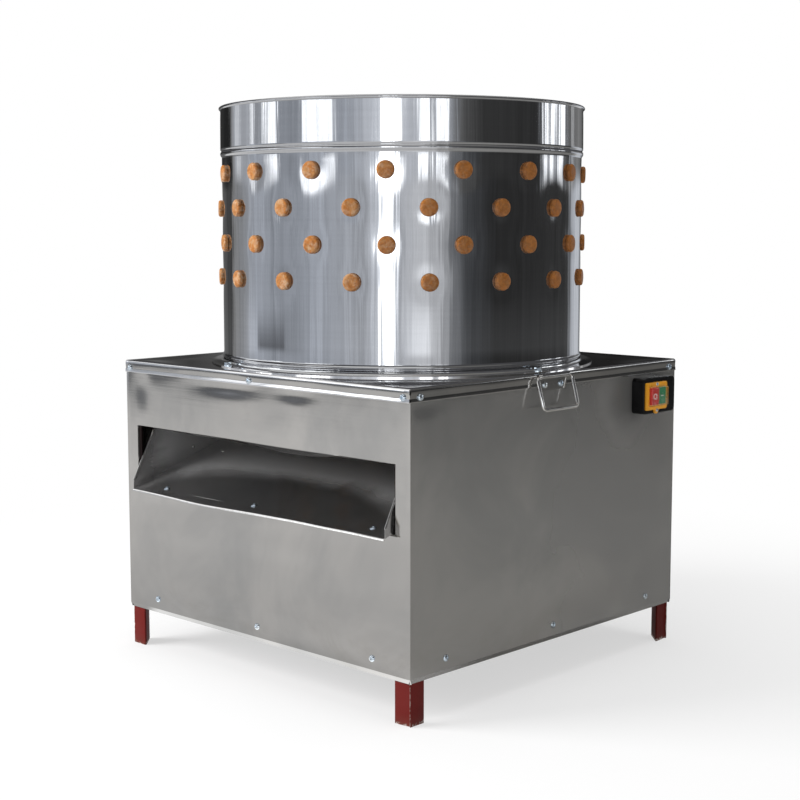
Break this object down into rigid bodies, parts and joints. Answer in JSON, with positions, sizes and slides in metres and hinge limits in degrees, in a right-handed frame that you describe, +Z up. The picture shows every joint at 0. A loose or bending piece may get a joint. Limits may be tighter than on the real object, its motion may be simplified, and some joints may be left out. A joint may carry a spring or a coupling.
{
  "type": "drum poultry plucker",
  "caption": "Drum poultry plucker: upright steel tub lined with rubber fingers over a belt-driven finger disc, on a square cabinet with a feather chute, push-button switch and wire handles.",
  "frame": {"origin": "on the floor under the axis of the tub, which is the middle of the cabinet", "axes": "+Z up along the tub axis; -Y is the front, where the chute opens; +X is the side with the switch"},
  "size_m": [0.7186, 0.6823, 0.91],
  "materials": {
    "frame_paint": "red oxide primer, chipped",
    "stainless_sheet": "cold rolled stainless sheet, hand marked",
    "tub_steel": "bright stainless, drawn vertically",
    "finger_rubber": "natural rubber with pale bloom",
    "zinc_steel": "bright zinc plate",
    "wire_chrome": "bright plated wire",
    "cast_aluminium": "turned casting",
    "shaft_steel": "turned steel",
    "cast_iron": "bare casting",
    "motor_paint": "painted casting",
    "core_steel": "laminations and windings",
    "belt_rubber": "cord belt",
    "black_plastic": "moulded grain",
    "yellow_plastic": "moulded",
    "red_plastic": "moulded",
    "green_plastic": "moulded",
    "clear_plastic": "clear soft moulding",
    "black_rubber": "moulded"
  },
  "bodies": {
    "cabinet": {"leg_front_left": "frame_paint", "leg_front_right": "frame_paint", "leg_rear_right": "frame_paint", "leg_rear_left": "frame_paint", "top_rail_front": "frame_paint", "top_rail_right": "frame_paint", "top_rail_rear": "frame_paint", "top_rail_left": "frame_paint", "bottom_rail_front": "frame_paint", "bottom_rail_right": "frame_paint", "bottom_rail_rear": "frame_paint", "bottom_rail_left": "frame_paint", "mid_rail_front": "frame_paint", "mid_rail_rear": "frame_paint", "bearing_beam_left": "frame_paint", "bearing_beam_right": "frame_paint", "motor_plate": "frame_paint", "front_panel": "stainless_sheet", "right_panel": "stainless_sheet", "rear_panel": "stainless_sheet", "left_panel": "stainless_sheet", "top_cover": "stainless_sheet", "chute_floor": "stainless_sheet", "chute_left_side": "stainless_sheet", "chute_right_side": "stainless_sheet", "shaft_collar": "stainless_sheet", "drum_foot_ring": "stainless_sheet", "drum_shell": "tub_steel", "drum_fingers": "finger_rubber", "hold_down_bolts": "zinc_steel", "drive_bolts": "zinc_steel", "handle_brackets": "zinc_steel", "sheet_screws": "zinc_steel", "shaft_bearings": "shaft_steel", "bearing_housing": "cast_iron", "motor_casing": "motor_paint", "motor_fan_cover": "motor_paint", "terminal_box": "motor_paint", "stator_core": "core_steel", "drive_belts": "belt_rubber", "motor_capacitor": "black_plastic", "switch_box": "black_plastic", "switch_contacts": "black_plastic", "switch_plate": "yellow_plastic", "button_hood": "clear_plastic", "cable_grommet": "black_rubber"},
    "turntable": {"plucking_disc": "cast_aluminium", "disc_fingers": "finger_rubber", "disc_cap_nut": "zinc_steel", "main_shaft": "shaft_steel", "water_slinger": "black_rubber", "driven_pulley": "cast_iron", "pulley_retainer": "zinc_steel"},
    "motor_spindle": {"motor_rotor": "shaft_steel", "motor_fan": "black_plastic", "motor_pulley": "cast_iron"},
    "stop_knob": {"stop_button": "red_plastic"},
    "start_knob": {"start_button": "green_plastic"},
    "handle_right": {"right_handle": "wire_chrome"},
    "handle_left": {"left_handle": "wire_chrome"}
  },
  "joints": [
    {"name": "turntable_spin", "type": "hinge", "parent": "cabinet", "child": "turntable", "pos_m": [0, 0, 0.5], "axis": [0, 0, 1], "continuous": true},
    {"name": "motor_spin", "type": "hinge", "parent": "cabinet", "child": "motor_spindle", "pos_m": [0, 0.205, 0.27], "axis": [0, 0, 1], "continuous": true},
    {"name": "stop_press", "type": "slide", "parent": "cabinet", "child": "stop_knob", "axis": [-1, 0, 0], "range_m": [0, 0.003], "stiffness_N_per_m": 500, "springref_m": -0.002},
    {"name": "start_press", "type": "slide", "parent": "cabinet", "child": "start_knob", "axis": [-1, 0, 0], "range_m": [0, 0.003], "stiffness_N_per_m": 500, "springref_m": -0.002},
    {"name": "right_handle_swing", "type": "hinge", "parent": "cabinet", "child": "handle_right", "pos_m": [0.3376, -0.012, 0.4865], "axis": [0, -1, 0], "range_deg": [-19, 90]},
    {"name": "left_handle_swing", "type": "hinge", "parent": "cabinet", "child": "handle_left", "pos_m": [-0.3376, 0.012, 0.4865], "axis": [0, 1, 0], "range_deg": [-19, 90]}
  ],
  "couplings": [
    {"joint": "motor_spin", "follows": "turntable_spin", "ratio": 5.0411}
  ]
}
